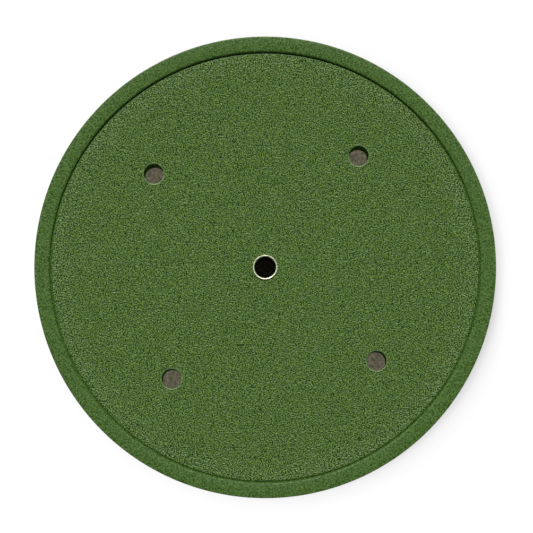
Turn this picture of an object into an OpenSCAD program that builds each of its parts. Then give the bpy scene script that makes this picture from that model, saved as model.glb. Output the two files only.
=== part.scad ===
// Line reel of an ice fishing tip-up. Two rimmed discs, joined by a ring of posts, turn on a
// flanged axle sleeve. A star nut on the sleeve squeezes a spring against the rear disc as a drag.
// Millimetres. The axle is the Z axis, the flange's rear face is z = 0 and the front disc faces +Z.

/* [Discs] */
// Colour of the two discs
disc_colour = "green"; // [green, blue, purple, pink, orange, yellow, red, black, white]
// Diameter of each disc
disc_d = 114.3; // [105:0.1:125]
// Thickness of a disc inside its rim
field_t = 2.4; // [2.2:0.1:3.2]
// Width of the raised rim
rim_w = 3.8; // [3:0.1:6]
// Height of the rim above the field
rim_h = 0.8; // [0.4:0.1:1.2]
// Radius of the rim's outer edges
edge_r = 0.6; // [0.3:0.1:1]
// Distance between the two discs, where the line winds
line_gap = 22; // [20:0.5:30]

/* [Disc holes] */
// Number of through-holes around each disc
hole_n = 4; // [3:1:6]
// Diameter of each through-hole
hole_d = 4.9; // [3:0.1:6]
// Diameter of the circle that the holes lie on
hole_pcd = 72; // [70:0.5:90]
// Angle of the first hole from the X axis
hole_first_deg = 50; // [0:5:85]

/* [Posts] */
// Diameter of each post
post_d = 8.3; // [6:0.1:9]
// Radius of the circle that the posts stand on
post_ring_r = 31.7; // [28:0.1:32]
// Diameter of the spigot at each end of a post
spigot_d = 5; // [3:0.1:5.5]
// Length of each spigot
spigot_h = 1.2; // [0.8:0.1:1.5]
// Diameter of the hole in the first post that the line is tied to
tie_hole_d = 2; // [1:0.1:3]

/* [Hub] */
// Outside diameter of the hub tube
hub_d = 18; // [16:0.5:24]
// Outside diameter of the bushes and bore of the hub tube
bush_d = 13; // [12.5:0.1:14]
// Length of each bush
bush_h = 9; // [6:0.5:9]

/* [Axle sleeve] */
// Diameter of the sleeve where the bushes run on it
sleeve_d = 9; // [8.5:0.1:9.5]
// Diameter of the bore through the sleeve
bore_d = 5.3; // [4:0.1:5.5]
// Diameter of the sleeve's front end, which shows in the front disc
nose_d = 6.1; // [6:0.1:7]
// Distance that the front end stands above the disc's field
nose_proud = 0.3; // [0:0.1:0.6]
// Diameter of the mounting flange
flange_d = 24; // [20:0.5:30]
// Thickness of the mounting flange
flange_t = 1.6; // [1.2:0.1:3]
// Distance across the two flats that key the washers
flats_w = 8; // [7.6:0.1:8.2]
// Pitch of the thread
thread_pitch = 1; // [0.8:0.05:1.2]
// Radial clearance of the running fits
running_clear = 0.05; // [0.02:0.01:0.09]

/* [Drag] */
// Height of the star nut
nut_h = 4.5; // [4:0.1:6]
// Mean diameter of the star nut
nut_d = 19.2; // [17:0.1:20]
// Number of lobes on the star nut
lobe_n = 5; // [3:1:8]
// Height of the lobes above and below the mean diameter
lobe_h = 1.6; // [0.5:0.1:2]
// Diameter of the washers that press on the rear disc
washer_d = 24; // [18:0.5:26]
// Thickness of those washers
washer_t = 1; // [0.6:0.1:2]
// Length of the spring at rest
spring_h = 8; // [8:0.1:12]
// Mean diameter of the spring
spring_d = 14; // [12.5:0.1:16]
// Diameter of the spring's wire
wire_d = 1.2; // [0.8:0.05:1.3]

/* [Hidden] */
$fn = 96;

// The twelve posts stand midway between the holes' lines, at equal steps
post_n = 12;
post_step_deg = 360 / post_n;
post_first_deg = hole_first_deg + post_step_deg / 2;

// Heights, from the flange up
nut_gap = 0.6;
seat_t = 0.8;
nut_z = flange_t + nut_gap;
seat_z = nut_z + nut_h;
spring_z = seat_z + seat_t;
pressure_z = spring_z + spring_h;
friction_z = pressure_z + washer_t;
rear_z = friction_z + washer_t;
rear_inner_z = rear_z + field_t;
front_inner_z = rear_inner_z + line_gap;
field_z = front_inner_z + field_t;
nose_z = field_z + nose_proud;

// The clip's groove, and what the clip holds back
thrust_t = 0.6;
clip_t = 0.9;
groove_h = 1;
groove_d = sleeve_d - 1.4;
end_gap = 0.05;
collar_h = 1.1;
shoulder_gap = 3.1;
shoulder_z = front_inner_z - shoulder_gap;
groove_z = shoulder_z - collar_h - groove_h;
thrust_z = groove_z - end_gap - thrust_t;
front_bush_z = thrust_z - end_gap - bush_h;
clip_d = bush_d - 0.8;
thrust_d = bush_d - 0.6;
clip_mouth_deg = 70;

// The thread and the flats end just inside the pressure washer's far face
thread_depth = 0.4;
thread_top_z = pressure_z + washer_t + 0.4;
run_d = sleeve_d + 2 * running_clear;
keyed_w = flats_w + 2 * running_clear;

// Small sizes
chamfer = 0.4;
insert_d = 12;
insert_h = 1.5;
friction_bore_d = 10.4;
seat_d = 18;
notch_n = 4;
notch_d = 3;
arc_steps = 6;
nut_points = 120;
cut = 1;

// The spring's coil: one closed turn at each end and open turns between them
closed_turns = 1;
open_turns = 2;
coil_turns = 2 * closed_turns + open_turns;
closed_pitch = wire_d + 0.05;
open_pitch = (spring_h - wire_d - 2 * closed_turns * closed_pitch) / open_turns;
coil_steps = 24;
wire_sides = 8;

DISC_COLOURS = [
    ["green", [0.29, 0.39, 0.19]], ["blue", [0.14, 0.20, 0.46]], ["purple", [0.38, 0.28, 0.41]],
    ["pink", [0.85, 0.60, 0.64]], ["orange", [0.75, 0.46, 0.37]], ["yellow", [0.75, 0.63, 0.21]],
    ["red", [0.72, 0.31, 0.29]], ["black", [0.29, 0.27, 0.25]], ["white", [0.96, 0.95, 0.94]]
];
disc_rgb = DISC_COLOURS[search([disc_colour], DISC_COLOURS)[0]][1];

// Points of an arc about c, from angle a to angle b
function arc(c, r, a, b) = [
    for (i = [0:arc_steps])
        let (t = a + (b - a) * i / arc_steps)
        [c[0] + r * cos(t), c[1] + r * sin(t)]
];

// Height of the wire's centre after u turns
function coil_z(u) =
    wire_d / 2
    + closed_pitch * min(u, closed_turns)
    + open_pitch * min(max(u - closed_turns, 0), open_turns)
    + closed_pitch * max(u - closed_turns - open_turns, 0);

module tube(outer_d, inner_d, h) {
    rotate_extrude()
        translate([inner_d / 2, 0])
            square([(outer_d - inner_d) / 2, h]);
}

// A round bar with two flats, as long as h
module double_d(d, across, h) {
    intersection() {
        cylinder(d = d, h = h);
        translate([-d, -across / 2, 0])
            cube([2 * d, across, h]);
    }
}

// A flat washer with a double-D hole that fits the sleeve's flats
module keyed_washer(d, t) {
    difference() {
        cylinder(d = d, h = t);
        translate([0, 0, -cut])
            double_d(run_d, keyed_w, t + 2 * cut);
    }
}

// One disc with its inner face on z = 0 and its rim rising towards +Z
module disc_blank(centre_d) {
    outer_r = disc_d / 2;
    rim_top = field_t + rim_h;
    soft_r = rim_h / 2;
    rim_in_r = outer_r - rim_w;
    rotate_extrude($fn = 180)
        polygon(concat(
            [[centre_d / 2, field_t], [centre_d / 2, 0]],
            arc([outer_r - edge_r, edge_r], edge_r, -90, 0),
            arc([outer_r - edge_r, rim_top - edge_r], edge_r, 0, 90),
            arc([rim_in_r + soft_r, rim_top - soft_r], soft_r, 90, 180),
            arc([rim_in_r - soft_r, field_t + soft_r], soft_r, 0, -90)
        ));
}

// What is cut from a disc: through-holes, and blind sockets in the inner face for the posts
module disc_cuts() {
    for (k = [0:hole_n - 1])
        rotate(hole_first_deg + k * 360 / hole_n)
            translate([hole_pcd / 2, 0, -cut])
                cylinder(d = hole_d, h = field_t + 2 * cut);
    for (k = [0:post_n - 1])
        rotate(post_first_deg + k * post_step_deg)
            translate([post_ring_r, 0, -cut])
                cylinder(d = spigot_d, h = spigot_h + cut);
}

module front_disc() {
    color(disc_rgb)
        translate([0, 0, front_inner_z])
            difference() {
                disc_blank(nose_d + 2 * running_clear);
                disc_cuts();
            }
}

module rear_disc() {
    color(disc_rgb)
        translate([0, 0, rear_inner_z])
            mirror([0, 0, 1])
                difference() {
                    disc_blank(bush_d);
                    disc_cuts();
                }
}

module hub_tube() {
    color("dimgray")
        translate([0, 0, rear_inner_z])
            tube(hub_d, bush_d, line_gap);
}

module bush() {
    color("ivory")
        tube(bush_d, run_d, bush_h);
}

module front_bush() {
    translate([0, 0, front_bush_z])
        bush();
}

module rear_bush() {
    translate([0, 0, rear_z])
        bush();
}

// One post with a spigot at each end
module post_turned() {
    r = post_d / 2;
    s = spigot_d / 2;
    rotate_extrude()
        polygon([
            [0, -spigot_h], [s, -spigot_h], [s, 0], [r, 0],
            [r, line_gap], [s, line_gap], [s, line_gap + spigot_h], [0, line_gap + spigot_h]
        ]);
}

// Post number k, counted from 1. The first has a cross-hole that the line is tied to.
module post(k) {
    color("dimgray")
        rotate(post_first_deg + (k - 1) * post_step_deg)
            translate([post_ring_r, 0, rear_inner_z])
                difference() {
                    post_turned();
                    if (k == 1)
                        translate([-post_d, 0, line_gap / 2])
                            rotate([0, 90, 0])
                                cylinder(d = tie_hole_d, h = 2 * post_d);
                }
}

module friction_washer() {
    color("sienna")
        translate([0, 0, friction_z])
            tube(washer_d, friction_bore_d, washer_t);
}

module pressure_washer() {
    color("silver")
        translate([0, 0, pressure_z])
            keyed_washer(washer_d, washer_t);
}

module thrust_washer() {
    color("silver")
        translate([0, 0, thrust_z])
            tube(thrust_d, run_d, thrust_t);
}

// An open ring that snaps into the sleeve's groove
module retaining_clip() {
    far = clip_d;
    half = clip_mouth_deg / 2;
    color("dimgray")
        translate([0, 0, groove_z + (groove_h - clip_t) / 2])
            difference() {
                tube(clip_d, groove_d, clip_t);
                translate([0, 0, -cut])
                    linear_extrude(clip_t + 2 * cut)
                        polygon([
                            [0, 0],
                            [far * cos(half), far * sin(half)],
                            [far * cos(half), -far * sin(half)]
                        ]);
            }
}

// The thread is drawn as rings at the thread's pitch, cut off by the two flats
module threaded_length() {
    outer_r = sleeve_d / 2;
    root_r = outer_r - thread_depth;
    turns = floor((thread_top_z - flange_t) / thread_pitch);
    intersection() {
        rotate_extrude()
            polygon(concat(
                [[0, flange_t], [outer_r, flange_t]],
                [for (i = [0:turns - 1], p = [0, 1])
                    [p == 0 ? outer_r : root_r, flange_t + (i + 0.25 + p / 2) * thread_pitch]],
                [[outer_r, thread_top_z], [0, thread_top_z]]
            ));
        translate([-flange_d, -flats_w / 2, 0])
            cube([2 * flange_d, flats_w, thread_top_z + cut]);
    }
}

// The plate that is staked on the sleeve's rear end, with notches for a spanner
module mount_flange() {
    r = flange_d / 2;
    hub_r = sleeve_d / 2;
    color("silver")
        difference() {
            rotate_extrude()
                polygon([
                    [hub_r, 0], [r, 0], [r, flange_t - chamfer],
                    [r - chamfer, flange_t], [hub_r, flange_t]
                ]);
            for (k = [0:notch_n - 1])
                rotate(k * 360 / notch_n)
                    translate([r, 0, -cut])
                        cylinder(d = notch_d, h = flange_t + 2 * cut);
        }
}

module axle_sleeve() {
    color("silver")
        difference() {
            union() {
                cylinder(d = sleeve_d, h = flange_t);
                threaded_length();
                translate([0, 0, thread_top_z])
                    cylinder(d = sleeve_d, h = groove_z - thread_top_z);
                translate([0, 0, groove_z])
                    cylinder(d = groove_d, h = groove_h);
                translate([0, 0, groove_z + groove_h])
                    cylinder(d = sleeve_d, h = collar_h);
                translate([0, 0, shoulder_z])
                    cylinder(d = nose_d, h = nose_z - shoulder_z);
            }
            translate([0, 0, -cut])
                cylinder(d = bore_d, h = nose_z + 2 * cut);
        }
}

module spring_seat() {
    color("silver")
        translate([0, 0, seat_z])
            keyed_washer(seat_d, seat_t);
}

module drag_spring() {
    rings = coil_turns * coil_steps;
    points = [
        for (i = [0:rings], j = [0:wire_sides - 1])
            let (
                a = 360 * i / coil_steps,
                b = 360 * j / wire_sides,
                r = spring_d / 2 + wire_d / 2 * cos(b)
            )
            [r * cos(a), r * sin(a), coil_z(i / coil_steps) + wire_d / 2 * sin(b)]
    ];
    sides = [
        for (i = [0:rings - 1], j = [0:wire_sides - 1])
            let (n = (j + 1) % wire_sides, low = i * wire_sides, high = low + wire_sides)
            [low + j, high + j, high + n, low + n]
    ];
    first_end = [for (j = [0:wire_sides - 1]) j];
    last_end = [for (j = [wire_sides - 1:-1:0]) rings * wire_sides + j];
    color("gray")
        translate([0, 0, spring_z])
            polyhedron(points, concat(sides, [first_end, last_end]));
}

module drag_nut() {
    color("goldenrod")
        translate([0, 0, nut_z])
            difference() {
                linear_extrude(nut_h)
                    polygon([
                        for (i = [0:nut_points - 1])
                            let (a = 360 * i / nut_points, r = nut_d / 2 + lobe_h * cos(lobe_n * a))
                            [r * cos(a), r * sin(a)]
                    ]);
                translate([0, 0, -cut])
                    cylinder(d = run_d, h = nut_h + 2 * cut);
                translate([0, 0, nut_h - insert_h])
                    cylinder(d = insert_d, h = insert_h + cut);
            }
}

module nut_insert() {
    color("white")
        translate([0, 0, nut_z + nut_h - insert_h])
            tube(insert_d, run_d, insert_h);
}

axle_sleeve();
mount_flange();
retaining_clip();
thrust_washer();
pressure_washer();
drag_spring();
front_disc();
rear_disc();
hub_tube();
front_bush();
rear_bush();
friction_washer();
post(1);  // post_01
post(2);  // post_02
post(3);  // post_03
post(4);  // post_04
post(5);  // post_05
post(6);  // post_06
post(7);  // post_07
post(8);  // post_08
post(9);  // post_09
post(10);  // post_10
post(11);  // post_11
post(12);  // post_12
spring_seat();
drag_nut();
nut_insert();
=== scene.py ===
"""Visual model of the line reel of an ice fishing tip-up.

The reel has two rimmed discs, joined by a ring of posts. It turns on a plated axle sleeve, and a brass
star nut on the sleeve's thread squeezes a spring against the rear disc. The CAD frame gives every
place and size. This script gives each piece its final mesh and its material.
"""

import logging
import math
from dataclasses import dataclass, field
from enum import Enum
from typing import Callable, Iterable, Sequence

import bmesh
import bpy
from mathutils import Matrix, Vector


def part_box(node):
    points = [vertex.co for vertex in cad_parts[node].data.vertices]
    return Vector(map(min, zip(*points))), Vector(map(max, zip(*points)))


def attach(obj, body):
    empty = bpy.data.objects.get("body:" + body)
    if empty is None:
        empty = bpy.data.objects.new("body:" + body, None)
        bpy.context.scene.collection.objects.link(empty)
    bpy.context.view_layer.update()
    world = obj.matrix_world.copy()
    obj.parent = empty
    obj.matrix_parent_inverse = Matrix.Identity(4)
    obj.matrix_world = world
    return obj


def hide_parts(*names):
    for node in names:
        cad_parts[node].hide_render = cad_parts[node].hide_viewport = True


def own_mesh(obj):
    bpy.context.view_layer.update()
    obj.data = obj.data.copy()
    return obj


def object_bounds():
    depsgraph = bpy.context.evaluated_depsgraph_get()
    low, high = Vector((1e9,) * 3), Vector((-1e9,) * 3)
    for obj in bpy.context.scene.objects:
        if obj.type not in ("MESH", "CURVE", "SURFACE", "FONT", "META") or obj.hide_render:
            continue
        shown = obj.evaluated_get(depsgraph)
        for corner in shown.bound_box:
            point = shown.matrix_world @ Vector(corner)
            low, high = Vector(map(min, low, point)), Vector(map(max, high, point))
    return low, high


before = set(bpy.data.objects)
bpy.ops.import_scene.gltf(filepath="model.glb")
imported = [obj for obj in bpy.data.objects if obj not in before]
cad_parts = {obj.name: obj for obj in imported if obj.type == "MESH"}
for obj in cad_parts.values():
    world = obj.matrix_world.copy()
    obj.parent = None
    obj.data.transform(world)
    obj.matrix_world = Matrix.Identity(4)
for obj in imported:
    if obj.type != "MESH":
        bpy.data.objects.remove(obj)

LOG = logging.getLogger("reel")
CAD_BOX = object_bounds()
MM = 0.001
WELD = 1e-7
NEAR = 1e-6
SLIVER = 0.001 * MM
FULL_TURN = 2.0 * math.pi

Point = tuple[float, float]
Profile = Sequence[Point]
Colour = tuple[float, float, float, float]
Tone = tuple[Sequence[float], Sequence[float]]
Piece = bpy.types.Object
Material = bpy.types.Material
Tree = bpy.types.NodeTree
Socket = bpy.types.NodeSocket


# ---- Small helpers


def srgb(code: str) -> Colour:
    """Turn an sRGB hex colour into linear light.

    Args:
        code: Six hex digits, with or without a hash.

    Returns:
        The colour as linear red, green, blue and an alpha of 1.
    """
    digits = code.lstrip("#")
    parts = [int(digits[i:i + 2], 16) / 255.0 for i in (0, 2, 4)]
    linear = [c / 12.92 if c <= 0.04045 else ((c + 0.055) / 1.055) ** 2.4 for c in parts]
    return (linear[0], linear[1], linear[2], 1.0)


def arc(centre: Point, radius: float, start: float, end: float, steps: int = 5) -> list[Point]:
    """List the points of an arc in a radius and height plane.

    Args:
        centre: The arc's centre, as radius and height.
        radius: The arc's radius.
        start: First angle in degrees.
        end: Last angle in degrees.
        steps: How many straight stretches make the arc.

    Returns:
        The points from start to end.
    """
    angles = [math.radians(start + (end - start) * i / steps) for i in range(steps + 1)]
    return [(centre[0] + radius * math.cos(a), centre[1] + radius * math.sin(a)) for a in angles]


def deselect() -> None:
    """Leave nothing selected, so that an operator acts only on the next new piece."""
    if bpy.context.mode != "OBJECT":
        bpy.ops.object.mode_set(mode="OBJECT")
    bpy.ops.object.select_all(action="DESELECT")


def activate(piece: Piece) -> None:
    """Make a piece the only one selected, and the active one."""
    deselect()
    piece.select_set(True)
    bpy.context.view_layer.objects.active = piece


def apply_modifier(piece: Piece, kind: str, **settings: object) -> None:
    """Add a modifier to a piece and apply it.

    Args:
        piece: The piece to change.
        kind: The modifier's type.
        **settings: The modifier's settings by name.
    """
    activate(piece)
    modifier = piece.modifiers.new(kind.title(), kind)
    for name, value in settings.items():
        setattr(modifier, name, value)
    bpy.ops.object.modifier_apply(modifier=modifier.name)


def pick_edges(piece: Piece, test: Callable[[Point, Point], bool]) -> None:
    """Leave only the edges that pass a test selected, and go to edit mode.

    Args:
        piece: The piece whose edges are picked.
        test: Takes the radius and height of an edge's two ends, the inner one first.
    """
    activate(piece)
    mesh = piece.data
    for element in (*mesh.vertices, *mesh.edges, *mesh.polygons):
        element.select = False
    for edge in mesh.edges:
        spots = [mesh.vertices[i].co for i in edge.vertices]
        ends = sorted((math.hypot(spot.x, spot.y), spot.z) for spot in spots)
        edge.select = test(ends[0], ends[1])
    bpy.ops.object.mode_set(mode="EDIT")
    bpy.ops.mesh.select_mode(type="EDGE")


def split_edges(cuts: int) -> None:
    """Divide the picked edges, and go back to object mode."""
    bpy.ops.mesh.subdivide(number_cuts=cuts)
    bpy.ops.object.mode_set(mode="OBJECT")


def lathe(name: str, profile: Profile, segments: int, closed: bool = True) -> Piece:
    """Turn a profile about the Z axis, by extruding a circle from point to point.

    Args:
        name: The new piece's name.
        profile: Points as radius and height, in metres. A point on the axis ends the profile there.
        segments: How many faces go round.
        closed: Whether the profile closes on its first point, as a ring's section does.

    Returns:
        The turned piece, at the origin.
    """
    deselect()
    first_r, first_z = profile[0]
    bpy.ops.mesh.primitive_circle_add(
        vertices=segments, radius=first_r, fill_type="NOTHING", location=(0.0, 0.0, first_z)
    )
    piece = bpy.context.object
    piece.name = name
    bpy.ops.object.transform_apply(location=True, rotation=True, scale=True)
    bpy.ops.object.mode_set(mode="EDIT")
    bpy.ops.mesh.select_mode(type="EDGE")
    bpy.ops.mesh.select_all(action="SELECT")
    steps = list(profile[1:]) + ([profile[0]] if closed else [])
    last_r, last_z = first_r, first_z
    for radius, height in steps:
        bpy.ops.mesh.extrude_edges_move(
            TRANSFORM_OT_translate={"value": (0.0, 0.0, height - last_z)}
        )
        if abs(radius - last_r) > 1e-9:
            share = radius / last_r
            bpy.ops.transform.resize(value=(share, share, 1.0), center_override=(0.0, 0.0, height))
        last_r, last_z = radius, height
    if not closed:
        bpy.ops.mesh.edge_face_add()
        bpy.ops.mesh.select_all(action="DESELECT")
        bpy.ops.object.mode_set(mode="OBJECT")
        for vertex in piece.data.vertices[:segments]:
            vertex.select = True
        bpy.ops.object.mode_set(mode="EDIT")
        bpy.ops.mesh.edge_face_add()
    bpy.ops.mesh.select_all(action="SELECT")
    bpy.ops.mesh.remove_doubles(threshold=WELD)
    bpy.ops.mesh.normals_make_consistent(inside=False)
    bpy.ops.object.mode_set(mode="OBJECT")
    return piece


def place(piece: Piece, spot: Vector, turn: Matrix | None = None) -> None:
    """Move a piece's mesh, so that its object stays at the origin.

    Args:
        piece: The piece to move.
        spot: Where its mesh's origin goes.
        turn: A turn that comes before the move.
    """
    matrix = Matrix.Translation(spot) @ (turn or Matrix.Identity(4))
    piece.data.transform(matrix)
    piece.data.update()


def copy_of(piece: Piece, name: str) -> Piece:
    """Copy a piece with a mesh of its own.

    Args:
        piece: The piece to copy.
        name: The copy's name.

    Returns:
        The copy.
    """
    twin = piece.copy()
    twin.data = piece.data.copy()
    twin.name = name
    bpy.context.scene.collection.objects.link(twin)
    return twin


def combine(piece: Piece, tool: Piece, operation: str) -> None:
    """Join, cut or trim a piece with a closed tool shape, and remove the tool.

    Args:
        piece: The piece that stays.
        tool: The closed shape that is used up.
        operation: UNION, DIFFERENCE or INTERSECT.
    """
    apply_modifier(piece, "BOOLEAN", object=tool, operation=operation, solver="MANIFOLD")
    bpy.data.objects.remove(tool)


def rod(name: str, radius: float, low: float, high: float, segments: int) -> Piece:
    """Make a plain closed cylinder about the Z axis, for cutting with."""
    return lathe(name, [(radius, low), (radius, high)], segments, closed=False)


def slab(width: float, centre_z: float, height: float, length: float = 30.0 * MM) -> Piece:
    """Make the long block between two flats that face along Y.

    Args:
        width: The distance over the flats.
        centre_z: The height of the block's middle.
        height: The block's full height.
        length: The block's full length, well past what it trims.

    Returns:
        The closed block.
    """
    deselect()
    bpy.ops.mesh.primitive_cube_add(size=1.0, location=(0.0, 0.0, centre_z))
    piece = bpy.context.object
    piece.scale = (length, width, height)
    bpy.ops.object.transform_apply(location=True, rotation=True, scale=True)
    return piece


def dress(piece: Piece, *materials: Material) -> None:
    """Give a piece only these materials, in this order."""
    piece.data.materials.clear()
    for material in materials:
        piece.data.materials.append(material)


def finish_piece(
    piece: Piece, body: str, nodes: Iterable[str], angle_deg: float = 35.0
) -> None:
    """Shade a finished piece smooth, and put it on its body, in place of its CAD nodes.

    Args:
        piece: The finished piece.
        body: The CAD body that it moves with.
        nodes: The CAD nodes that it stands for.
        angle_deg: Faces that meet at more than this angle keep a hard edge.
    """
    activate(piece)
    bpy.ops.object.shade_smooth_by_angle(angle=math.radians(angle_deg))
    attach(piece, body)
    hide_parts(*nodes)
    LOG.info("%s: %d faces on %s", piece.name, len(piece.data.polygons), body)


# ---- Finishes


def feed(tree: Tree, node: bpy.types.Node, inputs: dict[str | int, object]) -> None:
    """Give a node's inputs their values or their links.

    Args:
        tree: The node tree.
        node: The node.
        inputs: A value or an output socket for each input, by name or place.
    """
    for key, value in inputs.items():
        if isinstance(value, Socket):
            tree.links.new(value, node.inputs[key])
        else:
            node.inputs[key].default_value = value


def add_node(
    tree: Tree, kind: str, inputs: dict[str | int, object] | None = None, **settings: object
) -> bpy.types.Node:
    """Add a node with its settings, values and links.

    Args:
        tree: The node tree that the node goes into.
        kind: The node's type.
        inputs: A value or an output socket for each input, by name or place.
        **settings: The node's own properties by name.

    Returns:
        The new node.
    """
    node = tree.nodes.new(kind)
    for name, value in settings.items():
        setattr(node, name, value)
    feed(tree, node, inputs or {})
    return node


def noise(
    tree: Tree, spot: Socket, spacing_mm: float, detail: float, roughness: float = 0.5,
    distortion: float = 0.0, output: str = "Fac"
) -> Socket:
    """Make a noise pattern.

    Args:
        tree: The node tree.
        spot: Where in the pattern each point is.
        spacing_mm: The pattern's spacing in millimetres.
        detail: How many finer layers it has.
        roughness: How strong the finer layers are.
        distortion: How far it is bent by itself.
        output: Fac for a number, Color for three.

    Returns:
        The pattern's output.
    """
    return add_node(tree, "ShaderNodeTexNoise", {
        "Vector": spot, "Scale": per_mm(spacing_mm), "Detail": detail, "Roughness": roughness,
        "Distortion": distortion}).outputs[output]


def vector_math(tree: Tree, operation: str, inputs: dict[str | int, object], output: int = 0) -> Socket:
    """Add a vector operation.

    Args:
        tree: The node tree.
        operation: The operation's name.
        inputs: Its inputs by name or place.
        output: 0 for a vector, 1 for a number.

    Returns:
        The operation's output.
    """
    return add_node(tree, "ShaderNodeVectorMath", inputs, operation=operation).outputs[output]


def axis_distance(tree: Tree, spot: Socket) -> Socket:
    """Give each point's distance from the Z axis.

    Args:
        tree: The node tree.
        spot: The points' coordinates.

    Returns:
        The distance in metres.
    """
    flat = vector_math(tree, "MULTIPLY", {0: spot, 1: (1.0, 1.0, 0.0)})
    return vector_math(tree, "LENGTH", {0: flat}, 1)


def map_range(tree: Tree, value: Socket, old: Point, new: Point = (0.0, 1.0)) -> Socket:
    """Move a number from one range into another, and keep it there.

    Args:
        tree: The node tree.
        value: The number.
        old: The ends of the range that it comes from.
        new: The ends of the range that it goes to.

    Returns:
        The moved number.
    """
    return add_node(tree, "ShaderNodeMapRange", {
        0: value, 1: old[0], 2: old[1], 3: new[0], 4: new[1]}).outputs[0]


def mix(tree: Tree, share: object, first: object, second: object, blend: str = "MIX") -> Socket:
    """Mix two colours.

    Args:
        tree: The node tree.
        share: How much of the second colour there is.
        first: A colour or a socket.
        second: A colour or a socket.
        blend: MIX, or MULTIPLY to multiply the two.

    Returns:
        The mixed colour.
    """
    return add_node(
        tree, "ShaderNodeMix", {0: share, 6: first, 7: second}, data_type="RGBA", blend_type=blend
    ).outputs[2]


def relief(tree: Tree, height: Socket, depth_mm: float) -> Socket:
    """Raise and sink a surface by a pattern.

    Args:
        tree: The node tree.
        height: The pattern.
        depth_mm: The height between its lowest and highest points.

    Returns:
        The raised surface's normal.
    """
    return add_node(tree, "ShaderNodeBump", {
        "Strength": 1.0, "Distance": depth_mm * MM, "Height": height}).outputs[0]


def colour_ramp(tree: Tree, factor: Socket, stops: Sequence[tuple[float, Colour]]) -> Socket:
    """Turn a number into a colour along a list of stops.

    Args:
        tree: The node tree.
        factor: The number.
        stops: Positions from 0 to 1, with their colours.

    Returns:
        The ramp's colour output.
    """
    node = add_node(tree, "ShaderNodeValToRGB", {0: factor})
    elements = node.color_ramp.elements
    while len(elements) < len(stops):
        elements.new(0.5)
    for element, (position, colour) in zip(elements, stops):
        element.position = position
        element.color = colour
    return node.outputs[0]


def grey_stops(stops: Sequence[Point]) -> list[tuple[float, Colour]]:
    """Turn pairs of position and brightness into a ramp's stops."""
    return [(position, (grey, grey, grey, 1.0)) for position, grey in stops]


def toned(base: Colour, tone: Tone) -> Colour:
    """Change a colour by a tone: a gain and a lift for red, green and blue."""
    return tuple(min(1.0, c * gain + lift) for c, gain, lift in zip(base, *tone)) + (1.0,)


def blank_material(name: str) -> tuple[Material, Tree, bpy.types.Node, Socket]:
    """Start a material with only a Principled shader and its output.

    Args:
        name: The material's name.

    Returns:
        The material, its tree, its shader and the Object coordinates.
    """
    material = bpy.data.materials.new(name)
    material.use_nodes = True
    tree = material.node_tree
    tree.nodes.clear()
    shader = add_node(tree, "ShaderNodeBsdfPrincipled")
    add_node(tree, "ShaderNodeOutputMaterial", {"Surface": shader.outputs[0]})
    return material, tree, shader, add_node(tree, "ShaderNodeTexCoord").outputs["Object"]


def per_mm(spacing_mm: float) -> float:
    """Give the noise scale, in cells a metre, for a pattern with this spacing in millimetres."""
    return 1.0 / (spacing_mm * MM)


class ReelColour(Enum):
    """The colours that the discs are moulded in, as sRGB hex."""

    GREEN = "#446124"
    BLUE = "#243476"
    PURPLE = "#624868"
    PINK = "#DA99A4"
    ORANGE = "#C0755E"
    YELLOW = "#BEA136"
    RED = "#B74E49"
    BLACK = "#494441"
    WHITE = "#F4F3EF"


REEL_COLOUR = ReelColour.GREEN
POLYPROPYLENE_IOR = 1.49
NO_LIFT = (0.0, 0.0, 0.0)


@dataclass(frozen=True)
class PebbledPolypropylene:
    """Polypropylene moulded against a spark-eroded tool.

    It gives the eye a fine wandering grain, with deep green pits darkened as painted shade and paler
    crests lightened as painted highlights, palest in the band beside the rim. A real spark-eroded grain
    is about 0.1 mm. This one is coarser, so that it still reads when the whole disc is in view.
    """

    colour: ReelColour = REEL_COLOUR
    pebble_mm: float = 0.28
    wander_mm: float = 0.9
    wander_share: float = 0.5
    relief_mm: float = 0.2
    tint_mm: float = 2.2
    band_mm: Point = (47.0, 52.0)
    roughness: float = 0.36
    sheen: float = 0.16
    # The pit tone darkens the pebble's low points as painted shade. The crest and pale tones lighten
    # its high points as painted highlights, pale in the band beside the rim.
    pit_painted_shade: Tone = ((0.1, 0.24, 0.0), NO_LIFT)
    crest_painted_highlight: Tone = ((1.55, 1.55, 1.2), (0.04, 0.035, 0.028))
    pale: Tone = ((1.6, 1.55, 1.3), (0.075, 0.07, 0.06))
    cool: Colour = (0.94, 1.0, 1.12, 1.0)
    warm: Colour = (1.06, 1.0, 0.8, 1.0)

    def build(self) -> Material:
        """Make the material.

        Returns:
            The finished material.
        """
        material, tree, shader, spot = blank_material("polypropylene_pebbled_moulded_painted_light")
        wander = noise(tree, spot, self.wander_mm, 1.0, output="Color")
        push = vector_math(tree, "SCALE", {0: wander, "Scale": self.wander_share * self.wander_mm * MM})
        pebble = noise(tree, vector_math(tree, "ADD", {0: spot, 1: push}), self.pebble_mm, 0.0)
        base = srgb(self.colour.value)
        pit_painted_shade, crest_painted_highlight, pale = (toned(base, tone) for tone in (self.pit_painted_shade, self.crest_painted_highlight, self.pale))
        # The grain's colour follows its relief: painted shade in the pits and painted highlights on the
        # crests.
        grain = colour_ramp(tree, pebble, [(0.36, pit_painted_shade), (0.5, base), (0.66, crest_painted_highlight)])
        band_grain_and_painted_light = colour_ramp(tree, pebble, [(0.38, pit_painted_shade), (0.5, base), (0.64, pale)])
        band_m = self.band_mm[0] * MM, self.band_mm[1] * MM
        band = map_range(tree, axis_distance(tree, spot), band_m)
        drift = noise(tree, spot, self.tint_mm, 2.0, 0.6)
        tint = colour_ramp(tree, drift, [(0.3, self.cool), (0.7, self.warm)])
        feed(tree, shader, {
            "Base Color": mix(tree, 1.0, mix(tree, band, grain, band_grain_and_painted_light), tint, "MULTIPLY"),
            "Normal": relief(tree, pebble, self.relief_mm), "Roughness": self.roughness,
            "IOR": POLYPROPYLENE_IOR, "Specular IOR Level": self.sheen})
        return material


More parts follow.
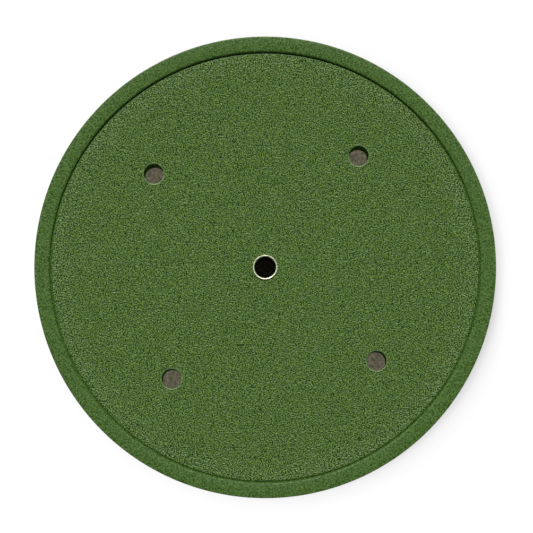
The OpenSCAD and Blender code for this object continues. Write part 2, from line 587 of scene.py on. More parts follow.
@dataclass(frozen=True)
class SmoothPolypropylene:
    """Polypropylene moulded against a stoned tool, for the rim, the edges and the inner faces.

    It gives the eye a satin skin with a faint mottle and a little orange peel. The mottle, at 0.4 mm,
    is coarser than the real flow marks, for the same reason as the pebble.
    """

    colour: ReelColour = REEL_COLOUR
    peel_mm: float = 0.4
    relief_mm: float = 0.1
    roughness: float = 0.42
    sheen: float = 0.2
    dark: Tone = ((0.2, 0.35, 0.0), NO_LIFT)
    light: Tone = ((1.5, 1.5, 1.2), (0.012, 0.006, 0.02))

    def build(self) -> Material:
        """Make the material.

        Returns:
            The finished material.
        """
        material, tree, shader, spot = blank_material("polypropylene_smooth_moulded")
        peel = noise(tree, spot, self.peel_mm, 3.0, 0.6)
        dark, light = (toned(srgb(self.colour.value), tone) for tone in (self.dark, self.light))
        feed(tree, shader, {
            "Base Color": colour_ramp(tree, peel, [(0.34, dark), (0.66, light)]),
            "Normal": relief(tree, peel, self.relief_mm), "Roughness": self.roughness,
            "IOR": POLYPROPYLENE_IOR, "Specular IOR Level": self.sheen})
        return material


@dataclass(frozen=True)
class WhitenedEdgePaintedHighlight:
    """Polypropylene pressed pale where a punch went through the disc.

    It gives the eye a thin broken light edge round each hole, lightened further as a painted highlight.
    """

    colour: ReelColour = REEL_COLOUR
    speck_mm: float = 0.35
    roughness: float = 0.5
    # The white tone is a painted highlight on each hole's edge, over the pale left by the punch.
    soft: Tone = ((0.9, 0.9, 0.9), NO_LIFT)
    white: Tone = ((1.6, 1.6, 1.6), (0.06, 0.06, 0.06))

    def build(self) -> Material:
        """Make the material.

        Returns:
            The finished material.
        """
        material, tree, shader, spot = blank_material("polypropylene_stress_whitened_painted_highlight")
        specks = noise(tree, spot, self.speck_mm, 2.0)
        soft, white = (toned(srgb(self.colour.value), tone) for tone in (self.soft, self.white))
        feed(tree, shader, {
            "Base Color": colour_ramp(tree, specks, [(0.35, soft), (0.65, white)]),
            "Roughness": self.roughness, "IOR": POLYPROPYLENE_IOR})
        return material


@dataclass(frozen=True)
class MouldedPlastic:
    """A plain engineering plastic, moulded or turned.

    It gives the eye one even colour, with a skin that catches the light unevenly. The skin's pattern,
    at 0.5 mm, is coarser than real.
    """

    name: str
    colour: str
    roughness: float = 0.4
    skin_mm: float = 0.5
    relief_mm: float = 0.015
    light: Tone = ((1.2, 1.2, 1.2), (0.004, 0.004, 0.004))

    def build(self) -> Material:
        """Make the material.

        Returns:
            The finished material.
        """
        material, tree, shader, spot = blank_material(self.name)
        skin = noise(tree, spot, self.skin_mm, 4.0, 0.6)
        base = srgb(self.colour)
        feed(tree, shader, {
            "Base Color": colour_ramp(tree, skin, [(0.35, base), (0.7, toned(base, self.light))]),
            "Roughness": map_range(
                tree, skin, (0.0, 1.0), (self.roughness - 0.05, self.roughness + 0.08)),
            "Normal": relief(tree, skin, self.relief_mm)})
        return material


@dataclass(frozen=True)
class TurnedMetal:
    """A metal part turned on a lathe, or drawn, about the Z axis.

    It gives the eye fine rings about the axis, and dull patches where it has been handled. The rings,
    at 0.18 mm, are coarser than a real finishing cut.
    """

    name: str
    colour: str
    roughness: float = 0.25
    ring_mm: float = 0.18
    relief_mm: float = 0.004
    patina: str = "#8A8578"
    patina_share: float = 0.25
    patch_mm: float = 2.5

    def build(self) -> Material:
        """Make the material.

        Returns:
            The finished material.
        """
        material, tree, shader, spot = blank_material(self.name)
        height = add_node(tree, "ShaderNodeSeparateXYZ", {0: spot}).outputs[2]
        section = add_node(
            tree, "ShaderNodeCombineXYZ", {0: axis_distance(tree, spot), 2: height}).outputs[0]
        rings = noise(tree, section, self.ring_mm, 3.0, 0.7)
        patches = noise(tree, spot, self.patch_mm, 5.0, 0.65)
        dull = map_range(tree, patches, (0.45, 0.75), (0.0, self.patina_share))
        feed(tree, shader, {
            "Base Color": mix(tree, dull, srgb(self.colour), srgb(self.patina)),
            "Roughness": map_range(
                tree, patches, (0.3, 0.75), (self.roughness - 0.06, self.roughness + 0.16)),
            "Normal": relief(tree, rings, self.relief_mm), "Metallic": 1.0})
        return material


@dataclass(frozen=True)
class PressedFibre:
    """Cellulose fibre, pressed and oiled, for the drag's friction face.

    It gives the eye a matte brown with short dark and light fibres.
    """

    dark: str = "#3A2213"
    light: str = "#8B6440"
    fibre_mm: float = 0.35
    stretch: tuple[float, float, float] = (1.0, 0.3, 1.0)
    relief_mm: float = 0.05
    roughness: float = 0.85

    def build(self) -> Material:
        """Make the material.

        Returns:
            The finished material.
        """
        material, tree, shader, spot = blank_material("cellulose_fibre_pressed")
        drawn = add_node(tree, "ShaderNodeMapping", {"Vector": spot, "Scale": self.stretch}).outputs[0]
        fibres = noise(tree, drawn, self.fibre_mm, 5.0, 0.75, 1.2)
        stops = [(0.3, srgb(self.dark)), (0.72, srgb(self.light))]
        feed(tree, shader, {
            "Base Color": colour_ramp(tree, fibres, stops), "Roughness": self.roughness,
            "Normal": relief(tree, fibres, self.relief_mm)})
        return material


class Finishes:
    """Every material of the reel, each made once."""

    def __init__(self) -> None:
        """Build the materials."""
        self.pebbled = PebbledPolypropylene().build()
        self.smooth = SmoothPolypropylene().build()
        self.whitened_painted_highlight = WhitenedEdgePaintedHighlight().build()
        self.fibre = PressedFibre().build()
        # Three other plastics: the near-black core, the cream bushes and the nut's milky insert.
        self.black_acetal = MouldedPlastic("acetal_black_moulded", "#1B1B1C").build()
        self.natural_acetal = MouldedPlastic("acetal_natural_turned", "#E3DFCF", 0.35).build()
        self.nylon = MouldedPlastic("nylon_white_moulded", "#E9E8E2", 0.45).build()
        # Nickel on brass: bright outside, worn to a soft pale green at the lip, and a darker copy in
        # the bore as painted shade.
        self.nickel = TurnedMetal("brass_nickel_plated", "#D9D6CC", 0.16, patina_share=0.12).build()
        self.burnished = TurnedMetal(
            "brass_nickel_burnished", "#D9DEC0", 0.5, patina="#9CA374", patina_share=0.5).build()
        self.bore_painted_shade = TurnedMetal(
            "brass_nickel_drawn_bore_painted_shade", "#7C7A70", 0.16, patina_share=0.1, relief_mm=0.001).build()
        # The drag's metals: pale zinc, the spring's dark oiled wire and the nut's warm brass.
        self.washer_steel = TurnedMetal("steel_zinc_plated", "#BFC1C2", 0.3).build()
        self.spring_steel = TurnedMetal(
            "spring_steel_oil_tempered", "#6F7074", 0.32, ring_mm=0.4, patina="#3A3533").build()
        self.brass = TurnedMetal(
            "brass_turned", "#D2AE62", 0.26, patina="#8A6A38", patina_share=0.3).build()


# ---- Sub-assemblies


@dataclass
class SideDisc:
    """One moulded side disc: pebbled field, raised smooth rim and lipped round holes.

    The disc is built with its inner face at height 0 and its rim upwards, and then put in place.
    """

    finishes: Finishes
    node: str
    centre_r: float
    faces_up: bool
    rim_w: float = 3.8 * MM
    rim_h: float = 0.8 * MM
    field_t: float = 2.4 * MM
    rim_soft: float = 0.5 * MM
    crown_h: float = 0.02 * MM
    groove_depth: float = 0.3 * MM
    groove: Profile = ((0.03, 0.7), (0.15, 1.0), (0.32, 0.6), (0.48, 0.1))
    field_gap: float = 0.6 * MM
    eye_gap: float = 0.6 * MM
    edge_r: float = 0.6 * MM
    front_edge_r: float = 0.3 * MM
    hole_r: float = 2.45 * MM
    hole_ring_r: float = 36.0 * MM
    hole_first_deg: float = 50.0
    hole_count: int = 4
    segments: int = 384
    step: float = 0.38 * MM
    pebble: float = 0.6 * MM
    pebble_depth: float = 0.008 * MM
    pebble_fade: float = 0.8 * MM
    lip_w: float = 0.45 * MM
    lip_h: float = 0.04 * MM
    lip_root: float = 0.3 * MM
    flare: float = 0.3 * MM
    over: float = 0.6 * MM
    skin: Point = (0.1 * MM, 0.06 * MM)
    outer_r: float = field(init=False)
    field_r: float = field(init=False)
    middle_r: float = field(init=False)

    def __post_init__(self) -> None:
        """Work out the sizes that the frame gives."""
        low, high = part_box(self.node)
        self.outer_r = (high.x - low.x) / 2.0
        self.field_r = self.outer_r - self.rim_w - self.field_gap
        self.middle_r = (self.field_r + self.centre_r) / 2.0

    def profile(self) -> list[Point]:
        """Give the disc's section as radius and height, the field's edge points last.

        Returns:
            The closed section's points.
        """
        top = self.field_t + self.rim_h
        soft = self.rim_soft
        outer = self.outer_r
        wall = outer - self.rim_w
        points = [(self.centre_r, 0.0)]
        points += arc((outer - self.edge_r, self.edge_r), self.edge_r, -90, 0)
        points += arc((outer - self.front_edge_r, top - self.front_edge_r), self.front_edge_r, 0, 90)
        points += [(outer - self.rim_w * 0.5, top + self.crown_h)]
        points += arc((wall + soft, top - soft), soft, 90, 180, 6)
        for offset_mm, share in self.groove:
            points += [(wall - offset_mm * MM, self.field_t - self.groove_depth * share)]
        points += [(self.field_r, self.field_t), (self.middle_r, self.field_t)]
        points += [(self.centre_r + self.eye_gap, self.field_t), (self.centre_r, self.field_t)]
        return points

    def refine_field(self, piece: Piece) -> None:
        """Split the field into faces small enough to carry the pebble.

        Args:
            piece: The turned disc.
        """
        middle = self.middle_r

        def on_top(a: Point, b: Point) -> bool:
            return all(abs(height - self.field_t) < NEAR for _, height in (a, b))

        for low, high in ((self.centre_r + self.eye_gap, middle), (middle, self.field_r)):
            pick_edges(
                piece, lambda a, b: on_top(a, b) and abs(a[0] - low) < NEAR and abs(b[0] - high) < NEAR)
            split_edges(max(1, round((high - low) / self.step) - 1))
        pick_edges(
            piece, lambda a, b: on_top(a, b) and b[0] - a[0] < NEAR
            and middle - NEAR < a[0] < self.field_r - NEAR)
        split_edges(1)

    def hole_spots(self) -> list[Vector]:
        """List the centres of the through-holes."""
        angles = [
            math.radians(self.hole_first_deg + k * 360.0 / self.hole_count)
            for k in range(self.hole_count)
        ]
        return [Vector((math.cos(a), math.sin(a), 0.0)) * self.hole_ring_r for a in angles]

    def grain(self, piece: Piece) -> None:
        """Press the pebble into the field, fading out at the rim and round the holes.

        Args:
            piece: The disc with its fine field.
        """
        group = piece.vertex_groups.new(name="pebble")
        spots = self.hole_spots()
        for vertex in piece.data.vertices:
            if abs(vertex.co.z - self.field_t) > NEAR:
                continue
            radius = math.hypot(vertex.co.x, vertex.co.y)
            room = min(self.field_r - radius, radius - self.centre_r - self.eye_gap)
            for spot in spots:
                gap = math.hypot(vertex.co.x - spot.x, vertex.co.y - spot.y)
                room = min(room, gap - self.hole_r - self.lip_w)
            weight = max(0.0, min(1.0, room / self.pebble_fade))
            if weight > 0.0:
                group.add([vertex.index], weight, "REPLACE")
        texture = bpy.data.textures.new("pebble", "CLOUDS")
        texture.noise_scale = self.pebble
        texture.noise_depth = 1
        texture.noise_basis = "IMPROVED_PERLIN"
        apply_modifier(
            piece, "DISPLACE", texture=texture, texture_coords="LOCAL", direction="Z",
            strength=self.pebble_depth * 2.0, mid_level=0.5, vertex_group=group.name)
        piece.vertex_groups.clear()

    def hole_tool(self) -> Piece:
        """Make the shape that cuts one hole, flared a little at both faces.

        Returns:
            The closed cutter, centred on the axis.
        """
        flare, over, r = self.flare, self.over, self.hole_r
        top = self.field_t + self.lip_h
        points = [(r + flare, -over), (r + flare, -SLIVER)]
        points += arc((r + flare, flare), flare, 250, 180, 4)
        points += arc((r + flare, top - flare), flare, 180, 110, 4)
        points += [(r + flare, top + SLIVER), (r + flare, top + over)]
        return lathe("hole_tool", points, 64, closed=False)

    def lip_tool(self) -> Piece:
        """Make the low round lip that stands about a hole.

        Returns:
            The closed ring, centred on the axis.
        """
        inner, outer = self.hole_r - 0.1 * MM, self.hole_r + self.lip_w
        base = self.field_t - self.lip_root
        crown = self.field_t + self.lip_h
        points = [(inner, base), (outer, base), (outer, self.field_t)]
        points += [(outer - 0.1 * MM, self.field_t + self.lip_h * 0.7), (outer - 0.2 * MM, crown)]
        points += [(inner, crown)]
        return lathe("lip_tool", points, 64)

    def finish(self, piece: Piece) -> None:
        """Give the field its pebble, with painted shade and highlights, the holes their pale edges,
        with a painted highlight, and the rest the smooth finish.

        Args:
            piece: The disc, with its rim upwards.
        """
        dress(piece, self.finishes.smooth, self.finishes.pebbled, self.finishes.whitened_painted_highlight)
        low, high = self.field_t - self.skin[0], self.field_t + self.skin[1]
        spots = self.hole_spots()
        edge_r = self.hole_r + self.flare * 0.9
        for polygon in piece.data.polygons:
            centre = polygon.center
            on_field = low < centre.z < high and polygon.normal.z > 0.5
            if on_field and math.hypot(centre.x, centre.y) < self.field_r:
                polygon.material_index = 1
            near = any(math.hypot(centre.x - s.x, centre.y - s.y) < edge_r for s in spots)
            if near and centre.z > self.field_t - self.flare:
                polygon.material_index = 2

    def build(self) -> None:
        """Model, dress and place the disc."""
        piece = lathe(f"{self.node}_moulding", self.profile(), self.segments)
        self.refine_field(piece)
        self.grain(piece)
        for spot in self.hole_spots():
            lip = self.lip_tool()
            place(lip, spot)
            combine(piece, lip, "UNION")
            hole = self.hole_tool()
            place(hole, spot)
            combine(piece, hole, "DIFFERENCE")
        self.finish(piece)
        low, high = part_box(self.node)
        if self.faces_up:
            place(piece, Vector((0.0, 0.0, high.z - self.field_t - self.rim_h)))
        else:
            flip = Matrix.Diagonal((1.0, 1.0, -1.0, 1.0))
            place(piece, Vector((0.0, 0.0, low.z + self.field_t + self.rim_h)), flip)
            piece.data.flip_normals()
        finish_piece(piece, "reel", [self.node], 50.0)


@dataclass
class ReelCore:
    """What joins the discs: twelve posts round the line's arbor, and the hub tube."""

    finishes: Finishes
    post_count: int = 12
    round_r: float = 0.35 * MM
    waist: float = 0.05 * MM
    spigot_h: float = 1.2 * MM
    tie_r: float = 1.0 * MM
    tie_reach: float = 6.0 * MM
    tie_mouth: float = 3.9 * MM
    tie_flare: float = 1.5
    tie_slope: Point = (0.35 * MM, -0.1 * MM)

    def post_master(self) -> Piece:
        """Model one post about the axis, from its foot at height 0.

        Returns:
            The post.
        """
        low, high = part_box("post_02")
        radius = (high.x - low.x) / 2.0
        height = high.z - low.z - 2.0 * self.spigot_h
        edge = self.round_r
        points = [(radius * 0.5, 0.0)]
        points += arc((radius - edge, edge), edge, -90, 0)
        points += [(radius - self.waist, height * 0.5)]
        points += arc((radius - edge, height - edge), edge, 0, 90)
        points += [(radius * 0.5, height)]
        return lathe("post_master", points, 64, closed=False)

    def build_posts(self) -> None:
        """Model one post, and copy it to each place."""
        master = self.post_master()
        dress(master, self.finishes.black_acetal)
        for k in range(1, self.post_count + 1):
            node = f"post_{k:02d}"
            low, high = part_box(node)
            centre = (low + high) / 2.0
            piece = copy_of(master, f"{node}_moulding")
            if k == 1:
                self.drill_tie_hole(piece, high.z - low.z - 2.0 * self.spigot_h)
                place(piece, Vector(), Matrix.Rotation(math.atan2(centre.y, centre.x), 4, "Z"))
            place(piece, Vector((centre.x, centre.y, low.z + self.spigot_h)))
            finish_piece(piece, "reel", [node])
        bpy.data.objects.remove(master)

    def drill_tie_hole(self, piece: Piece, height: float) -> None:
        """Drill the cross-hole that the line is tied to, with a soft mouth at each side.

        Args:
            piece: The post, about the axis.
            height: The post's height.
        """
        wide = self.tie_r * self.tie_flare
        start, end = (self.tie_mouth + slope for slope in self.tie_slope)
        points = [(wide, -self.tie_reach), (wide, -start), (self.tie_r, -end)]
        points += [(self.tie_r, end), (wide, start), (wide, self.tie_reach)]
        drill = lathe("tie_drill", points, 32, closed=False)
        place(drill, Vector((0.0, 0.0, height / 2.0)), Matrix.Rotation(math.pi / 2.0, 4, "Y"))
        combine(piece, drill, "DIFFERENCE")

    def build_hub(self) -> None:
        """Model the hub tube, with soft outer edges."""
        low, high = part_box("hub_tube")
        outer = (high.x - low.x) / 2.0
        bush_low, bush_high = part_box("rear_bush")
        inner = (bush_high.x - bush_low.x) / 2.0
        edge = self.round_r
        points = [(inner, low.z)]
        points += arc((outer - edge, low.z + edge), edge, -90, 0)
        points += arc((outer - edge, high.z - edge), edge, 0, 90)
        points += [(inner, high.z)]
        piece = lathe("hub_tube_moulding", points, 96)
        dress(piece, self.finishes.black_acetal)
        finish_piece(piece, "reel", ["hub_tube"])


@dataclass
class AxleSleeve:
    """The plated sleeve that the reel turns on, and the flange on its rear end.

    The sleeve has a foot, a threaded length with two flats, a journal with the clip's groove, and a
    nose that is rolled over at the front disc.
    """

    finishes: Finishes
    bore_r: float = 2.65 * MM
    bore_skin: float = 0.02 * MM
    roll_r: float = 0.26 * MM
    nose_r: float = 3.05 * MM
    nose_edge: float = 0.06 * MM
    collar_h: float = 1.1 * MM
    collar_edge: float = 0.3 * MM
    journal_r: float = 4.5 * MM
    groove_r: float = 3.8 * MM
    clip_play: float = 0.05 * MM
    thread_past: float = 0.4 * MM
    plug_share: float = 0.7
    plug_h: float = 0.5 * MM
    flats_w: float = 8.0 * MM
    pitch: float = 1.0 * MM
    thread_depth: float = 0.45 * MM
    foot_edge: float = 0.15 * MM
    foot_past: float = 0.1 * MM
    flange_r: float = 12.0 * MM
    flange_t: float = 1.6 * MM
    flange_edge: float = 0.25 * MM
    notch_r: float = 1.5 * MM
    notches: int = 4
    over: float = 1.0 * MM
    top: float = field(init=False)
    thread_end: float = field(init=False)

    def __post_init__(self) -> None:
        """Take the sleeve's heights from the frame."""
        self.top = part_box("axle_sleeve")[1].z
        self.thread_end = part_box("pressure_washer")[1].z + self.thread_past

    def journal(self) -> Piece:
        """Turn the plain length, the clip's groove, the collar and the nose.

        Returns:
            The closed shape, without its bore.
        """
        clip_low, clip_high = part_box("retaining_clip")
        groove = clip_low.z - self.clip_play, clip_high.z + self.clip_play
        start, shoulder = self.thread_end, groove[1] + self.collar_h
        r, nose, edge = self.journal_r, self.nose_r, self.nose_edge
        plug = r * self.plug_share
        points = [(plug, start - self.plug_h), (plug, start), (r, start), (r, groove[0])]
        points += [(self.groove_r, groove[0]), (self.groove_r, groove[1]), (r, groove[1])]
        points += [(r, shoulder - self.collar_edge), (r - self.collar_edge, shoulder)]
        points += [(nose, shoulder), (nose, self.top - edge)]
        points += arc((nose - edge, self.top - edge), edge, 0, 90, 4)
        return lathe("axle_sleeve_turning", points, 128, closed=False)

    def thread(self) -> Piece:
        """Cut the screw thread as one helix, trimmed square at both ends.

        Returns:
            The closed threaded length, from the flange to the journal.
        """
        start, end = self.flange_t * 0.5, self.thread_end
        root = self.journal_r - self.thread_depth
        turns = math.ceil((end - start) / self.pitch) + 3
        deselect()
        bpy.ops.mesh.primitive_circle_add(vertices=4, radius=self.pitch, location=(0.0, 0.0, 0.0))
        piece = bpy.context.object
        piece.name = "thread_tool"
        ridge = [
            (root, -1.5), (root, -1.38), (self.journal_r, -1.08), (self.journal_r, -0.95),
            (root, -0.62), (root, -0.5)
        ]
        model = bmesh.new()
        last = None
        for radius, height in ridge:
            point = model.verts.new((radius, 0.0, start + height * self.pitch))
            if last is not None:
                model.edges.new((last, point))
            last = point
        model.to_mesh(piece.data)
        model.free()
        apply_modifier(
            piece, "SCREW", axis="Z", screw_offset=self.pitch, iterations=turns, steps=48,
            render_steps=48, use_merge_vertices=True, merge_threshold=NEAR)
        activate(piece)
        bpy.ops.object.mode_set(mode="EDIT")
        bpy.ops.mesh.select_all(action="SELECT")
        bpy.ops.mesh.remove_doubles(threshold=2e-6)
        for height, keep_above in ((start, True), (end, False)):
            bpy.ops.mesh.select_all(action="SELECT")
            bpy.ops.mesh.bisect(
                plane_co=(0.0, 0.0, height), plane_no=(0.0, 0.0, 1.0), use_fill=True,
                clear_inner=keep_above, clear_outer=not keep_above, threshold=WELD)
        bpy.ops.mesh.select_all(action="SELECT")
        bpy.ops.mesh.normals_make_consistent(inside=False)
        bpy.ops.object.mode_set(mode="OBJECT")
        return piece

    def build_flange(self) -> None:
        """Turn the mounting flange and cut its four spanner notches."""
        r, t, edge = self.flange_r, self.flange_t, self.flange_edge
        points = [(self.journal_r, 0.0)]
        points += arc((r - edge, edge), edge, -90, 0, 4)
        points += arc((r - edge, t - edge), edge, 0, 90, 4) + [(self.journal_r, t)]
        piece = lathe("mount_flange_turning", points, 128)
        for k in range(self.notches):
            notch = rod("notch_tool", self.notch_r, -self.over, t + self.over, 40)
            angle = k * FULL_TURN / self.notches
            place(notch, Vector((r * math.cos(angle), r * math.sin(angle), 0.0)))
            combine(piece, notch, "DIFFERENCE")
        dress(piece, self.finishes.nickel)
        finish_piece(piece, "mount", ["mount_flange"], 30.0)

    def foot(self) -> Piece:
        """Turn the plain end that the flange is staked on.

        Returns:
            The closed foot, without its bore.
        """
        r, top, edge = self.journal_r, self.flange_t + self.foot_past, self.foot_edge
        points = [(r - edge, 0.0), (r, edge), (r, top)]
        return lathe("foot_turning", points, 128, closed=False)

    def build(self) -> None:
        """Model and dress the sleeve."""
        piece = self.journal()
        thread = self.thread()
        combine(thread, slab(self.flats_w, self.top / 2.0, self.top * 2.0), "INTERSECT")
        combine(piece, thread, "UNION")
        combine(piece, self.foot(), "UNION")
        roll, above = self.roll_r, self.top + self.over
        mouth = [(self.bore_r, -self.over)]
        mouth += arc((self.bore_r + roll, self.top - roll), roll, 180, 110, 5)
        mouth += [(self.bore_r + roll, self.top + SLIVER), (self.bore_r + roll, above)]
        combine(piece, lathe("bore_tool", mouth, 128, closed=False), "DIFFERENCE")
        # The bore's inward faces take the darker nickel copy, which is painted shade in the bore.
        dress(piece, self.finishes.nickel, self.finishes.bore_painted_shade, self.finishes.burnished)
        mesh = piece.data
        lip_z = self.top - self.roll_r
        for polygon in mesh.polygons:
            centre = polygon.center
            inward = centre.x * polygon.normal.x + centre.y * polygon.normal.y < 0.0
            near = math.hypot(centre.x, centre.y) < self.bore_r + self.bore_skin
            polygon.material_index = 2 if centre.z > lip_z else int(inward and near)
        finish_piece(piece, "mount", ["axle_sleeve"], 30.0)


@dataclass
class DragStack:
    """The drag: star nut and its insert, spring seat, spring, and the two big washers."""

    finishes: Finishes
    run_r: float = 4.55 * MM
    keyed_w: float = 8.1 * MM
    blank_r: float = 2.0 * MM
    friction_bore_r: float = 5.2 * MM
    edge: float = 0.15 * MM
    wire_r: float = 0.6 * MM
    wire_gap: float = 0.05 * MM
    closed_turns: float = 1.0
    open_turns: float = 2.0
    steps: int = 48
    travel: float = 1.25 * MM
    nut_mean_r: float = 9.6 * MM
    nut_edge: float = 0.45 * MM
    nut_mouth: float = 0.35 * MM
    lobe_h: float = 1.6 * MM
    lobes: int = 5
    insert_r: float = 6.0 * MM
    insert_h: float = 1.5 * MM
    insert_wall: float = 0.3 * MM
    play: float = 0.02 * MM
    over: float = 1.0 * MM

    def ring(self, name: str, node: str, inner_r: float, play: float = 0.0) -> Piece:
        """Turn a flat ring with softened edges, as large as its CAD node.

        Args:
            name: The piece's name.
            node: The CAD node that gives its size.
            inner_r: The hole's radius.
            play: How far the top stays below the node's, where another body slides over it.

        Returns:
            The ring.
        """
        low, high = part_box(node)
        top = high.z - play
        outer = (high.x - low.x) / 2.0
        edge = min(self.edge, (top - low.z) * 0.25)
        points = [(inner_r, low.z + edge * 0.5), (inner_r + edge * 0.5, low.z)]
        points += arc((outer - edge, low.z + edge), edge, -90, 0, 3)
        points += arc((outer - edge, top - edge), edge, 0, 90, 3)
        points += [(inner_r + edge * 0.5, top), (inner_r, top - edge * 0.5)]
        return lathe(name, points, 128)

    def keyed_ring(self, name: str, node: str) -> Piece:
        """Turn a washer with a double-D hole that fits the sleeve's flats.

        Args:
            name: The piece's name.
            node: The CAD node that gives its size.

        Returns:
            The washer.
        """
        low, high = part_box(node)
        piece = self.ring(name, node, self.blank_r)
        key = rod("key_tool", self.run_r, low.z - self.over, high.z + self.over, 96)
        combine(key, slab(self.keyed_w, low.z, height=20.0 * MM), "INTERSECT")
        combine(piece, key, "DIFFERENCE")
        return piece

    def build_washers(self) -> None:
        """Model the pressure washer, the friction washer and the spring seat."""
        for node, body in (("pressure_washer", "mount"), ("spring_seat", "spring_seat")):
            washer = self.keyed_ring(f"{node}_blank", node)
            dress(washer, self.finishes.washer_steel)
            finish_piece(washer, body, [node])
        friction = self.ring("friction_washer_blank", "friction_washer", self.friction_bore_r)
        dress(friction, self.finishes.fibre)
        finish_piece(friction, "reel", ["friction_washer"])

    def build_nut(self) -> None:
        """Model the star nut with rounded lobes, and its nylon insert."""
        low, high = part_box("drag_nut")
        edge = self.nut_edge
        points = [(self.run_r + self.nut_mouth, low.z), (self.nut_mean_r - edge, low.z)]
        points += arc((self.nut_mean_r - edge, low.z + edge), edge, -90, 0, 4)[1:]
        top = high.z - self.play
        points += arc((self.nut_mean_r - edge, top - edge), edge, 0, 90, 4)
        points += [(self.insert_r + self.edge, top), (self.insert_r, top - self.edge)]
        points += [(self.insert_r, high.z - self.insert_h), (self.run_r, high.z - self.insert_h)]
        points += [(self.run_r, low.z + self.nut_mouth)]
        piece = lathe("drag_nut_turning", points, 240)
        inner = self.insert_r + self.insert_wall
        for vertex in piece.data.vertices:
            radius = math.hypot(vertex.co.x, vertex.co.y)
            if radius <= inner:
                continue
            angle = math.atan2(vertex.co.y, vertex.co.x)
            share = (radius - inner) / (self.nut_mean_r - inner)
            grown = radius + self.lobe_h * math.cos(self.lobes * angle) * share
            vertex.co.x, vertex.co.y = grown * math.cos(angle), grown * math.sin(angle)
        dress(piece, self.finishes.brass)
        finish_piece(piece, "drag_nut", ["drag_nut"])
        insert = self.ring("nut_insert_ring", "nut_insert", self.run_r, self.play)
        dress(insert, self.finishes.nylon)
        finish_piece(insert, "drag_nut", ["nut_insert"])

    def build_spring(self) -> None:
        """Wind the spring, with a closed turn at each end."""
        low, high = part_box("drag_spring")
        mean_r = (high.x - low.x) / 2.0 - self.wire_r
        closed, opened, steps = self.closed_turns, self.open_turns, self.steps
        tight = 2.0 * self.wire_r + self.wire_gap
        loose = (high.z - low.z - 2.0 * self.wire_r - 2.0 * closed * tight) / opened
        turns = 2.0 * closed + opened
        count = round(turns * steps)
        curve = bpy.data.curves.new("drag_spring_wire", "CURVE")
        curve.dimensions = "3D"
        curve.bevel_depth = self.wire_r
        curve.bevel_resolution = 5
        curve.use_fill_caps = True
        spline = curve.splines.new("POLY")
        spline.points.add(count)
        for i in range(count + 1):
            turn = i / steps
            height = (
                low.z + self.wire_r
                + tight * min(turn, closed)
                + loose * min(max(turn - closed, 0.0), opened)
                + tight * max(turn - closed - opened, 0.0))
            angle = turn * FULL_TURN
            spline.points[i].co = (mean_r * math.cos(angle), mean_r * math.sin(angle), height, 1.0)
        wire = bpy.data.objects.new("drag_spring_coil", curve)
        bpy.context.scene.collection.objects.link(wire)
        activate(wire)
        bpy.ops.object.convert(target="MESH")
        piece = bpy.context.object
        dress(piece, self.finishes.spring_steel)
        finish_piece(piece, "mount", ["drag_spring"], 50.0)
        height = high.z - low.z
        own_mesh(piece)


def dress_hidden_nodes(finishes: Finishes) -> None:
    """Give the bearings inside the hub their materials.

    Args:
        finishes: The reel's materials.
    """
    chosen = {
        "front_bush": finishes.natural_acetal,
        "rear_bush": finishes.natural_acetal,
        "thrust_washer": finishes.washer_steel,
        "retaining_clip": finishes.spring_steel,
    }
    for node, material in chosen.items():
        dress(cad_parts[node], material)
        LOG.info("%s: CAD shape with %s", node, material.name)


# ---- Studio


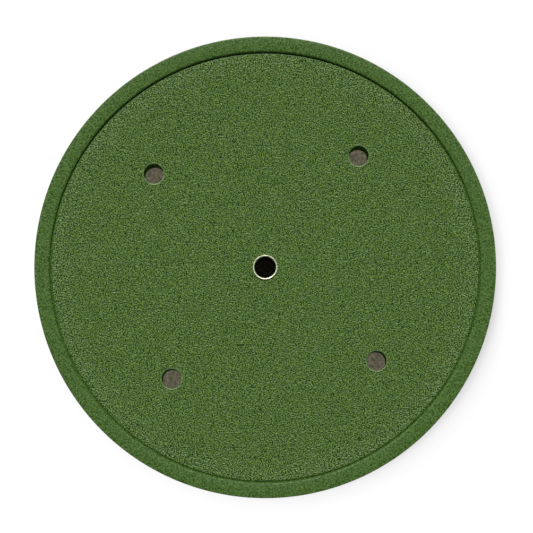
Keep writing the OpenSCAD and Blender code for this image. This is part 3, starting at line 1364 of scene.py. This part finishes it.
@dataclass
class Studio:
    """A lit white table under a dim dome, with a soft key from the top edge, seen from above.

    The table glows, so that it stays white round the reel. Its glow and paint fade towards the reel,
    which paints a soft shadow at the discs' edge, dim warm flecked shade below the holes and black
    shade under the flange.
    """

    view_w: float = 131.85 * MM
    distance: float = 2200.0 * MM
    tilt_deg: float = 1.5
    sensor: float = 36.0
    aim_x: float = 0.33 * MM
    aim_y: float = 0.17 * MM
    ramp_r: float = 100.0 * MM
    glow_power: float = 1.6
    roughness: float = 0.9
    sheen: float = 0.1
    # Painted shade on the table: black under the flange, a dim warm glow and darker paint below the
    # holes, and glow that dims towards the discs' edge as a painted soft shadow.
    deep_shade: Colour = (0.0019, 0.0019, 0.0013, 1.0)
    painted_shade_glow: Colour = (0.034, 0.0285, 0.0202, 1.0)
    painted_shade_paint: Colour = (0.52, 0.46, 0.4, 1.0)
    glow_stops: Profile = (
        (0.47, 0.03), (0.54, 0.19), (0.56, 0.43), (0.58, 0.555), (0.6, 0.6), (0.64, 0.64), (0.9, 1.0))
    paint_stops: Profile = ((0.47, 0.5), (0.55, 0.12), (0.6, 0.04))
    shade_shift: tuple[float, float, float] = (2.7 * MM, 1.0 * MM, 0.0)
    fleck_mm: float = 0.9
    fleck_dark: Colour = (0.55, 0.52, 0.54, 1.0)
    fleck_light: Colour = (1.5, 1.46, 1.5, 1.0)
    key_energy: float = 3.5
    key_angle: float = 10.0
    key_aim: tuple[float, float, float] = (0.12, -0.8, -1.0)
    dome_stops: Profile = ((0.0, 1.0), (0.08, 0.9), (0.2, 0.45), (0.6, 0.18), (1.0, 0.06))

    def camera(self) -> None:
        """Hang the camera over the front disc's field."""
        face_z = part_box("front_disc")[1].z
        data = bpy.data.cameras.new("camera")
        data.sensor_width = self.sensor
        data.lens = self.sensor * self.distance / self.view_w
        data.clip_start, data.clip_end = 0.01, 10.0
        camera = bpy.data.objects.new("camera", data)
        tilt = math.radians(self.tilt_deg)
        camera.location = (
            self.aim_x, self.aim_y - self.distance * math.sin(tilt),
            face_z + self.distance * math.cos(tilt))
        camera.rotation_euler = (tilt, 0.0, 0.0)
        bpy.context.scene.collection.objects.link(camera)
        bpy.context.scene.camera = camera

    def table(self) -> None:
        """Lay the lit table that the reel stands on."""
        deselect()
        bpy.ops.mesh.primitive_plane_add(size=6.0, location=(0.0, 0.0, CAD_BOX[0].z))
        floor = bpy.context.object
        floor.name = "table"
        bpy.ops.object.transform_apply(location=True, rotation=True, scale=True)
        material, tree, shader, spot = blank_material("acrylic_opal_sheet_lit_painted_shade")
        shifted = vector_math(tree, "SUBTRACT", {0: spot, 1: self.shade_shift})
        share = map_range(tree, vector_math(tree, "LENGTH", {0: shifted}, 1), (0.0, self.ramp_r))
        flecks = colour_ramp(
            tree, noise(tree, spot, self.fleck_mm, 3.0, 0.6),
            [(0.34, self.fleck_dark), (0.66, self.fleck_light)])
        inside = colour_ramp(tree, share, grey_stops([(0.44, 1.0), (0.5, 0.0)]))
        # Glow and paint follow the distance from the shifted centre. They paint shade under the reel
        # and a soft shadow at the discs' edge, and are white further out.
        glow = [(0.08, self.deep_shade), (0.2, self.painted_shade_glow), (0.42, self.painted_shade_glow)]
        glow_ramp = colour_ramp(tree, share, glow + grey_stops(self.glow_stops))
        paint = [(0.42, self.painted_shade_paint)] + grey_stops(self.paint_stops)
        feed(tree, shader, {
            "Emission Color": mix(tree, inside, glow_ramp, flecks, "MULTIPLY"),
            "Base Color": mix(tree, inside, colour_ramp(tree, share, paint), flecks, "MULTIPLY"),
            "Emission Strength": self.glow_power, "Roughness": self.roughness,
            "Specular IOR Level": self.sheen})
        dress(floor, material)

    def lights(self) -> None:
        """Set the even fill and the soft key light."""
        world = bpy.data.worlds.new("fill")
        world.use_nodes = True
        tree = world.node_tree
        background = tree.nodes["Background"]
        direction = add_node(tree, "ShaderNodeTexCoord").outputs["Generated"]
        height = add_node(tree, "ShaderNodeSeparateXYZ", {0: direction}).outputs[2]
        feed(tree, background, {0: colour_ramp(tree, height, grey_stops(self.dome_stops))})
        bpy.context.scene.world = world
        sun = bpy.data.lights.new("key", "SUN")
        sun.energy = self.key_energy
        sun.angle = math.radians(self.key_angle)
        key = bpy.data.objects.new("key", sun)
        aim = Vector(self.key_aim)
        key.rotation_mode = "QUATERNION"
        key.rotation_quaternion = aim.to_track_quat("-Z", "Y")
        bpy.context.scene.collection.objects.link(key)

    def build(self) -> None:
        """Set up the camera, table and lights, and the plain colour display."""
        self.camera()
        self.table()
        self.lights()
        bpy.context.scene.view_settings.view_transform = "Standard"


def main() -> None:
    """Build the studio and every piece of the reel, in order."""
    logging.basicConfig(level=logging.INFO, format="%(name)s: %(message)s")
    Studio().build()
    finishes = Finishes()
    SideDisc(finishes, "front_disc", centre_r=3.1 * MM, faces_up=True).build()
    SideDisc(finishes, "rear_disc", centre_r=6.5 * MM, faces_up=False).build()
    core = ReelCore(finishes)
    core.build_posts()
    core.build_hub()
    sleeve = AxleSleeve(finishes)
    sleeve.build()
    sleeve.build_flange()
    drag = DragStack(finishes)
    drag.build_washers()
    drag.build_nut()
    drag.build_spring()
    dress_hidden_nodes(finishes)


if __name__ == "__main__":
    main()
